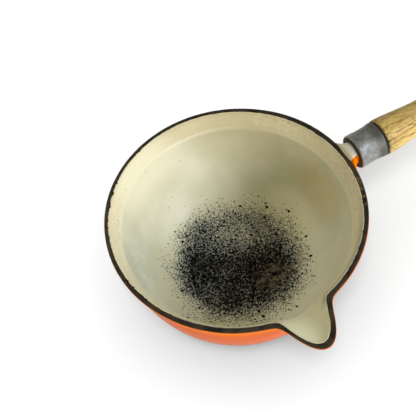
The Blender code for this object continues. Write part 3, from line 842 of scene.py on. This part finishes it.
def cream_glaze(look, cloud, peel):
    """Clean cream, a yellower band on the flare, and a painted highlight along the line where the
    wall turns.

    Returns the colour, and a mask of the band.
    """
    x, y, z = look.split()
    band_height = look.wander(z, look.noise(55, 2, 0.5), 2.5 * MM)
    clean = look.mix(look.mask(cloud, 0.35, 0.68), (0.70, 0.68, 0.50), (0.78, 0.75, 0.58))
    yellow = look.mix(look.mask(peel, 0.38, 0.62), (0.74, 0.65, 0.41), (0.83, 0.76, 0.53))
    # painted shade: the yellow band darker on the far side of the pan
    far_side_shade = look.mask(y, 66 * MM, 94 * MM)
    yellow = look.over(yellow, (0.57, 0.49, 0.29), far_side_shade, 0.9)
    band = look.mask(band_height, INNER_SHOULDER_Z, INNER_SHOULDER_Z + 2.6 * MM)
    colour = look.mix(look.times(band, 0.85), clean, yellow)
    # painted highlight: a pale line along the ridge where the wall turns into the flare
    above = look.mask(band_height, INNER_SHOULDER_Z - 3.0 * MM, INNER_SHOULDER_Z - 0.3 * MM)
    below = look.mask(band_height, INNER_SHOULDER_Z + 2.2 * MM, INNER_SHOULDER_Z)
    colour = look.over(colour, (0.92, 0.88, 0.67), look.times(above, below), 0.6)
    in_lip = look.times(look.mask(y, -86 * MM, -95 * MM), band)
    colour = look.over(colour, (0.83, 0.81, 0.55), in_lip, 0.85)
    # painted shade on the near wall just under the rim, clear of the lip
    near_rim_shade = look.times(look.mask(y, -30 * MM, -65 * MM), look.mask(y, -97 * MM, -90 * MM))
    near_rim_shade = look.times(near_rim_shade, look.mask(z, PAN_HEIGHT - 7 * MM, PAN_HEIGHT - 3 * MM))
    colour = look.over(colour, (0.48, 0.45, 0.32), near_rim_shade, 0.8)

    # painted light: the lug whiter on top, and painted black shade against the ferrule
    colour = look.over(colour, (0.95, 0.94, 0.87), look.mask(x, 95.2 * MM, 96.5 * MM))
    nose_x = (HANDLE @ Vector((0, 0, handle_span("ferrule")[0]))).x
    ferrule_shade = look.mask(look.wander(x, cloud, 2 * MM), nose_x - 1.6 * MM, nose_x + 0.3 * MM)
    return look.over(colour, (0.045, 0.038, 0.030), ferrule_shade, 0.9), band


def cream_light_and_stains(look, colour):
    """Broad painted light and shade, and cold grey staining on the wall away from the handle."""
    # painted light and shade: darker on the far wall, yellower on the shaded right wall, brighter
    # on the upper left wall, darker low on the left and lighter low on the right
    light_and_shade_zones = (((45, 76, 62), (55, 45, 36), 0.45, (0.43, 0.38, 0.18)),
                              ((80, 7, 40), (30, 40, 30), 0.50, (0.70, 0.54, 0.24)),
                              ((-45, 70, 72), (45, 45, 40), 0.70, (0.88, 0.84, 0.62)),
                              ((-62, 8, 10), (32, 50, 24), 0.45, (0.45, 0.42, 0.25)),
                              ((60, 12, 12), (22, 40, 22), 0.60, (0.95, 0.90, 0.66)))
    for centre, size, share, tone in light_and_shade_zones:
        colour = look.over(colour, tone, look.near(centre, size), share)
    x, y, z = look.split()
    streak = look.noise(160, 4, 0.75, look.join(x, y, look.times(z, 0.5)))
    stained = look.near((-69, 7, 42), (30, 52, 36))
    stain = look.times(stained, look.mask(streak, 0.34, 0.70))
    colour = look.over(colour, (0.46, 0.52, 0.47), stain, 0.55)
    dots = look.times(look.mask(look.noise(720, 2, 0.6), 0.60, 0.66), stained)
    return look.over(colour, (0.20, 0.23, 0.21), dots, 0.5)


def burnt_patch(look):
    """Where the burnt food lies on the floor, thinning out towards the wall.

    Returns the wavy distance from the patch's middle, masks of the patch and of its core, and
    how thickly the food lies, from 0 to about 1.
    """
    x, y, _ = look.split()
    clumps = look.noise(42, 3, 0.6)
    edge = look.wander(look.length(look.add(x, 0.8 * MM), look.add(y, 2.5 * MM)), clumps, 22 * MM)
    inside = look.mask(edge, 69.5 * MM, 40 * MM)
    core = look.most(look.near((-22, 3, 5), (42, 40, 90)), look.near((-2, -20, 5), (54, 38, 90)))
    density = look.wander(look.add(0.54, look.times(core, 0.29)), clumps, 0.45)
    density = look.times(inside, density)
    centre_size_change = (((-1, 20, 5), (30, 17, 90), -0.15),
                          ((-14, -47, 5), (42, 13, 90), -0.11),
                          ((-21, 46, 5), (20, 14, 90), 0.16))
    for centre, size, change in centre_size_change:
        density = look.add(density, look.times(look.near(centre, size), change))
    return edge, inside, core, density


def char_tone(look):
    """Black char, with a rusty place where it has come off the floor."""
    lumps = look.mask(look.noise(300, 2, 0.5), 0.4, 0.7)
    char = look.mix(lumps, (0.001, 0.001, 0.001), (0.017, 0.016, 0.017))
    small_rust = look.times(look.near((16, 16, 5), (9, 7, 30)), 0.7)
    rust = look.most(look.near((18, -29, 5), (22, 16, 30)), small_rust)
    rust = look.times(rust, look.mask(look.noise(210, 3, 0.6), 0.42, 0.62))
    return look.over(char, (0.20, 0.150, 0.095), rust, 0.8)


def burnt_crumbs(look, edge):
    """Separate crumbs, big and small, stuck on in and round the patch."""
    close = look.mask(edge, 74 * MM, 56 * MM)
    crumb = 0.0
    for scale, share, smallest, spread in ((150, 0.82, 0.12, 0.17), (290, 0.72, 0.12, 0.16)):
        distance, which = look.cells(scale, flat=True)
        chance, size, _ = look.split(which)
        wanted = look.times(look.mask(chance, share, share + 0.03), close)
        reach = look.add(smallest, look.times(size, spread))
        crumb = look.most(crumb, look.times(look.mask(distance, reach, 0.07), wanted))
    return look.mask(crumb, 0.15, 0.55)


def cream_enamel():
    """Old cream enamel: clean at the rim, stained lower down, burnt in specks on the floor."""
    look = Look("cream_enamel", roughness=0.34, specular_ior_level=0.5)
    cloud = look.noise(38, 3, 0.55)
    peel = look.noise(330, 3, 0.65, warp=0.6)
    colour, band = cream_glaze(look, cloud, peel)
    colour = cream_light_and_stains(look, colour)

    # burnt food: grey ash, then black char, both following how thickly it lies, then crumbs
    edge, inside, core, density = burnt_patch(look)
    beyond = look.mask(inside, 0.0, 0.12, -0.2, 0.0)
    ash_grain = look.add(look.noise(760, 2, 0.6), beyond)
    ash = look.mask(look.add(ash_grain, look.times(look.add(density, -0.32), 0.42)), 0.49, 0.55)
    thick = look.mask(density, 0.58, 0.95)
    ash_tone = look.mix(thick, (0.158, 0.175, 0.192), (0.060, 0.060, 0.064))
    colour = look.over(colour, ash_tone, ash, 0.88)
    fine = look.times(look.noise(640, 2, 0.6), 0.8)
    coarse = look.times(look.noise(250, 3, 0.7), 0.2)
    grain = look.add(look.add(fine, coarse), beyond)
    burnt = look.mask(look.add(grain, look.times(look.add(density, -0.60), 0.36)), 0.49, 0.535)
    colour = look.over(colour, char_tone(look), burnt)
    crumb = burnt_crumbs(look, edge)
    colour = look.over(colour, (0.004, 0.004, 0.004), crumb)

    # pinholes over the wall, and pale flecks in the patch
    pin_distance, pin_which = look.cells(130)
    pin_chance = look.split(pin_which)[0]
    pin = look.times(look.mask(pin_distance, 0.10, 0.05), look.mask(pin_chance, 0.62, 0.66))
    pin = look.times(pin, look.mask(look.split()[0], 90 * MM, 88 * MM))
    colour = look.over(colour, (0.16, 0.15, 0.12), pin, 0.7)
    fleck = look.mask(look.noise(710, 2, 0.6, warp=0.5), 0.60, 0.68)
    fleck = look.times(fleck, look.times(inside, look.mask(core, 0.0, 1.0, 0.85, 0.28)))
    colour = look.over(colour, (0.50, 0.51, 0.43), fleck)

    look.shade("Base Color", colour)
    matt = look.most(look.times(ash, 0.9), look.most(burnt, crumb))
    look.shade("Specular IOR Level", look.mask(matt, 0.0, 1.0, 0.5, 0.03))
    rough = look.add(0.43, look.times(burnt, 0.22))
    look.shade("Roughness", look.add(rough, look.times(cloud, 0.10)))
    relief = look.add(look.times(burnt, 0.9), look.times(crumb, 1.6))
    relief = look.add(relief, look.times(look.times(peel, band), 0.35))
    look.bump(look.add(relief, look.times(cloud, 0.4)), 0.25 * MM, 0.9)
    return look


def orange_enamel():
    """Orange enamel fired to a redder tone down the wall, paler pink low down as a painted sheen,
    with faint brush-like mottling.
    """
    look = Look("orange_enamel", roughness=0.25, specular_ior_level=0.008)
    z = look.split()[2]
    mottle = look.noise(26, 4, 0.6)
    height = look.wander(z, mottle, 9 * MM)
    # darker and redder towards the foot, the flame's own tone; its low end is paler pink as painted
    # sheen, since the enamel's gloss is nearly off
    low = look.mask(height, 6 * MM, 56 * MM)
    colour = look.mix(low, (0.38, 0.075, 0.045), (0.70, 0.145, 0.035))
    colour = look.over(colour, (1.0, 0.235, 0.0005), look.mask(height, 62 * MM, 78 * MM))
    fine = look.noise(420, 3, 0.6)
    colour = look.over(colour, (0.70, 0.12, 0.01), look.mask(fine, 0.3, 0.75), 0.18)
    scuff = look.mask(look.noise(70, 5, 0.75), 0.66, 0.74)
    scuff = look.times(scuff, look.mask(z, 30 * MM, 4 * MM))
    colour = look.over(colour, (0.07, 0.035, 0.02), scuff, 0.7)
    look.shade("Base Color", colour)
    wear = look.most(scuff, look.times(fine, 0.2))
    look.shade("Roughness", look.add(0.20, look.times(wear, 0.4)))
    relief = look.add(look.times(look.noise(260, 2, 0.5), 0.5), look.times(mottle, 0.8))
    look.bump(relief, 0.10 * MM, 0.5)
    return look


def bare_iron():
    """Ground cast iron gone brown-black, with a painted sheen on the bead's crown, grit, worn
    bright points and yellow rust specks.
    """
    look = Look("bare_iron", metallic=0.3, roughness=0.5, specular_ior_level=0.35)
    z = look.split()[2]
    grit = look.noise(900, 4, 0.7)
    broad = look.noise(60, 3, 0.6)
    # painted sheen: the crown of the bead browner over brown patches, the outer side darker
    crown_sheen = look.mask(z, PAN_HEIGHT - 1.9 * MM, PAN_HEIGHT - 0.2 * MM)
    crown_sheen = look.times(crown_sheen, look.mask(broad, 0.36, 0.62))
    colour = look.mix(crown_sheen, (0.009, 0.007, 0.006), (0.052, 0.040, 0.024))
    colour = look.over(colour, (0.070, 0.058, 0.043), look.mask(grit, 0.50, 0.74), 0.7)
    right_rust = look.near((88, -35, 85), (14, 22, 12))
    left_rust = look.times(look.near((-93, -8, 85), (8, 16, 12)), 0.6)
    zone = look.most(right_rust, left_rust)
    specks = look.mask(look.noise(330, 3, 0.65), 0.52, 0.62)
    rust = look.times(look.most(look.times(zone, 0.95), 0.04), specks)
    colour = look.over(colour, (0.17, 0.10, 0.020), rust)
    look.shade("Base Color", colour)
    look.shade("Metallic", look.mask(rust, 0.0, 1.0, 0.3, 0.0))
    look.shade("Roughness", look.mask(look.add(grit, rust), 0.3, 0.9, 0.40, 0.72))
    look.bump(look.add(grit, look.times(broad, 1.5)), 0.12 * MM, 0.8)
    return look


def worn_alloy():
    """Dull grey drawn alloy: fine scratches round it, dark smudges, painted shade at its back end
    and in its mouth, and a painted red reflection under its nose.
    """
    start, end = handle_span("ferrule")
    look = Look("worn_alloy", along_handle=True, metallic=0.6, roughness=0.5)
    x, y, z = look.split()
    around = look.noise(900, 2, 0.6, look.join(look.times(x, 0.3), look.times(y, 0.3), z))
    smudge = look.noise(150, 4, 0.65)
    blotch = look.mask(smudge, 0.34, 0.66)
    colour = look.mix(blotch, (0.17, 0.175, 0.17), (0.29, 0.295, 0.29))
    colour = look.over(colour, (0.40, 0.40, 0.40), look.mask(around, 0.42, 0.7), 0.5)
    pits = look.mask(look.noise(520, 3, 0.7), 0.62, 0.72)
    colour = look.over(colour, (0.05, 0.048, 0.045), pits, 0.8)
    dark = (0.085, 0.085, 0.08)
    # darker towards the seam at the back end: smudges with painted shade, and more painted shade on
    # the near side there
    seam = look.mask(look.add(z, look.times(smudge, 5 * MM)), end - 6.5 * MM, end - 0.5 * MM)
    colour = look.over(colour, dark, seam, 0.7)
    shaded_side = look.times(look.mask(z, end - 11 * MM, end - 5 * MM), look.mask(y, -2 * MM, 6 * MM))
    colour = look.over(colour, dark, shaded_side, 0.55)
    # painted reflection of the orange lug: dark red under the nose
    nose = look.mask(z, start + 2.4 * MM, start + 0.2 * MM)
    nose = look.times(nose, look.mask(x, 4 * MM, -9 * MM))
    colour = look.over(colour, (0.13, 0.032, 0.016), nose, 0.75)
    # painted shade on the front face, in the gap round the lug
    mouth_shade = look.mask(z, start + 1.0 * MM, start + 0.3 * MM)
    colour = look.over(colour, (0.030, 0.022, 0.018), mouth_shade)
    look.shade("Base Color", colour)
    look.shade("Roughness", look.mask(smudge, 0.3, 0.7, 0.56, 0.46))
    relief = look.add(look.times(around, 0.5), look.times(pits, -1.2))
    look.bump(look.add(relief, look.times(smudge, 1.6)), 0.10 * MM, 0.7)
    return look


def black_fibre():
    """Black pressed fibre, rough and a little dusty."""
    look = Look("black_fibre", roughness=0.8)
    fibre = look.noise(800, 3, 0.7)
    dust = look.mask(fibre, 0.35, 0.7)
    look.shade("Base Color", look.mix(dust, (0.010, 0.010, 0.010), (0.040, 0.038, 0.036)))
    look.shade("Roughness", look.mask(fibre, 0.3, 0.7, 0.9, 0.65))
    look.bump(fibre, 0.1 * MM, 0.6)
    return look


def golden_wood():
    """Worn varnished hardwood: dark pores and streaks along the grip, sooty at the ferrule."""
    shoulder = handle_span("handle_gasket")[1]
    look = Look("golden_wood", along_handle=True, roughness=0.5, specular_ior_level=0.22)
    x, y, z = look.split()
    stretched = look.join(x, y, look.times(z, 0.07))
    broad = look.noise(95, 4, 0.6, look.join(x, y, look.times(z, 0.12)), 0.4)
    rings = look.noise(260, 3, 0.65, stretched, 0.3)
    pores = look.noise(860, 3, 0.75, look.join(x, y, look.times(z, 0.11)), 0.3)
    bright = look.noise(180, 3, 0.6, stretched)
    colour = look.mix(look.mask(broad, 0.32, 0.68), (0.52, 0.35, 0.10), (0.70, 0.51, 0.17))
    colour = look.over(colour, (0.31, 0.17, 0.045), look.mask(rings, 0.48, 0.66), 0.75)
    colour = look.over(colour, (0.12, 0.065, 0.02), look.mask(pores, 0.52, 0.64), 0.85)
    colour = look.over(colour, (0.72, 0.54, 0.22), look.mask(bright, 0.55, 0.75), 0.55)
    soot = look.mask(z, shoulder + 11 * MM, shoulder)
    soot = look.times(soot, look.mask(look.noise(500, 3, 0.7), 0.45, 0.62))
    colour = look.over(colour, (0.06, 0.035, 0.018), soot, 0.65)
    look.shade("Base Color", colour)
    look.shade("Roughness", look.mask(pores, 0.35, 0.7, 0.42, 0.66))
    look.bump(look.add(look.times(pores, -1.0), look.times(rings, -0.6)), 0.16 * MM, 0.8)
    return look


def plated_steel():
    """Dull plated steel, tarnished in blotches."""
    look = Look("plated_steel", metallic=1.0, roughness=0.32)
    blotch = look.noise(190, 4, 0.65)
    fine = look.noise(1100, 2, 0.6)
    tarnish = look.mask(blotch, 0.36, 0.64)
    colour = look.mix(tarnish, (0.34, 0.33, 0.31), (0.60, 0.59, 0.56))
    spots = look.mask(look.noise(430, 3, 0.7), 0.64, 0.72)
    colour = look.over(colour, (0.16, 0.09, 0.04), spots, 0.7)
    look.shade("Base Color", colour)
    look.shade("Roughness", look.mask(blotch, 0.3, 0.7, 0.45, 0.25))
    look.bump(look.add(fine, look.times(spots, -1.5)), 0.05 * MM, 0.6)
    return look


# ---------- floor, light and camera


def make_floor():
    """A plain pale floor that the pan stands on."""
    half = 3.0
    mesh = bpy.data.meshes.new("floor")
    corners = [(-half, -half, 0), (half, -half, 0), (half, half, 0), (-half, half, 0)]
    mesh.from_pydata(corners, [], [(0, 1, 2, 3)])
    obj = new_object("floor", mesh)
    obj.location.z = -0.02 * MM
    look = Look("pale_floor", roughness=0.9, specular_ior_level=0.1)
    tone = look.mask(look.noise(3, 2, 0.5), 0.3, 0.7)
    look.shade("Base Color", look.mix(tone, (0.42, 0.42, 0.42), (0.44, 0.44, 0.44)))
    look.paint(obj)
    obj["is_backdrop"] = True
    return obj


def area_light(name, place, size, power, colour, receivers):
    """A round softbox that faces the pan and lights only its receivers."""
    data = bpy.data.lights.new(name, "AREA")
    data.shape = "DISK"
    data.size = size
    data.energy = power
    data.color = colour
    obj = new_object(name, data)
    obj.location = place
    obj.rotation_mode = "QUATERNION"
    obj.rotation_quaternion = (PAN_MIDDLE - place).to_track_quat("-Z", "Y")
    obj.light_linking.receiver_collection = receivers


def make_world(colour, strength):
    world = bpy.data.worlds.new("studio")
    world.use_nodes = True
    background = world.node_tree.nodes["Background"]
    background.inputs["Color"].default_value = (*colour, 1)
    background.inputs["Strength"].default_value = strength
    bpy.context.scene.world = world


def make_camera():
    """The camera looks down at the pan from its near left, a little tilted."""
    place = Vector((-0.0956, -0.2129, 0.4495))
    back = Vector((-0.18221, -0.51170, 0.83962)).normalized()
    up = Vector((0.42153, 0.73082, 0.53687))
    right = up.cross(back).normalized()
    up = back.cross(right)
    data = bpy.data.cameras.new("camera")
    data.lens = 51.92
    data.sensor_width = 36
    camera = new_object("camera", data)
    rotation = Matrix((right, up, back)).transposed().to_4x4()
    camera.matrix_world = Matrix.Translation(place) @ rotation
    bpy.context.scene.camera = camera


def from_pan(azimuth, elevation, distance):
    """A place at this direction and distance from the middle of the pan."""
    a, e = radians(azimuth), radians(elevation)
    return PAN_MIDDLE + distance * Vector((cos(a) * cos(e), sin(a) * cos(e), sin(e)))


def light_scene(floor):
    """A dim warm room, two softboxes on the near side, a weak one behind, and a bright floor."""
    make_world((1.0, 0.90, 0.62), 0.27)
    pan_only = bpy.data.collections.new("pan_light_receivers")
    floor_only = bpy.data.collections.new("floor_light_receivers")
    floor_only.objects.link(floor)
    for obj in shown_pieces():
        pan_only.objects.link(obj)
    area_light("key", from_pan(-45, 35, 1.3), 0.5, 11.8, (0.79, 0.87, 0.98), pan_only)
    area_light("low_key", from_pan(-85, 20, 1.3), 0.5, 7.7, (1.0, 0.92, 0.84), pan_only)
    area_light("rim_light", from_pan(120, 35, 1.3), 0.5, 2.9, (1.0, 1.0, 1.0), pan_only)
    floor_tint = (0.965, 0.975, 1.0)
    area_light("floor_dome", Vector((0, 0, 2.0)), 8.0, 372, floor_tint, floor_only)
    area_light("floor_front", from_pan(-120, 69, 1.6), 0.5, 19, floor_tint, floor_only)
    bpy.context.scene.view_settings.view_transform = "Standard"


# ---------- putting it together


def finish_piece(obj, look, body, slot, *nodes):
    """Paints a piece, says what it rides on, and hides the CAD nodes it stands for; slot is not
    used.
    """
    look.paint(obj)
    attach(obj, body)
    if nodes:
        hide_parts(*nodes)


def main():
    cream = cream_enamel()
    steel = plated_steel()
    finish_piece(make_pan_iron(), bare_iron(), "pan", "bare_iron", "pan_casting")
    finish_piece(make_cream_coat(), cream, "pan", "cream_enamel", "interior_enamel")
    orange_coat = make_orange_coat()
    orange_coat.visible_diffuse = False  # so that it doesn't tint the floor
    finish_piece(orange_coat, orange_enamel(), "pan", "orange_enamel", "exterior_enamel")
    finish_piece(make_lug_glaze(), cream, "pan", "cream_enamel")
    finish_piece(make_ferrule_cup(), worn_alloy(), "pan", "ferrule_metal", "ferrule")
    finish_piece(make_joint_gasket(), black_fibre(), "pan", "black_fibre", "handle_gasket")
    finish_piece(make_turned_handle(), golden_wood(), "pan", "golden_wood", "wood_handle")
    finish_piece(make_domed_washer(), steel, "pan", "plated_steel", "end_washer")
    finish_piece(make_rod_and_eye(), steel, "pan", "plated_steel", "tie_rod")
    finish_piece(make_hang_ring(), steel, "ring", "plated_steel", "hanging_ring")
    floor = make_floor()
    light_scene(floor)
    make_camera()


main()
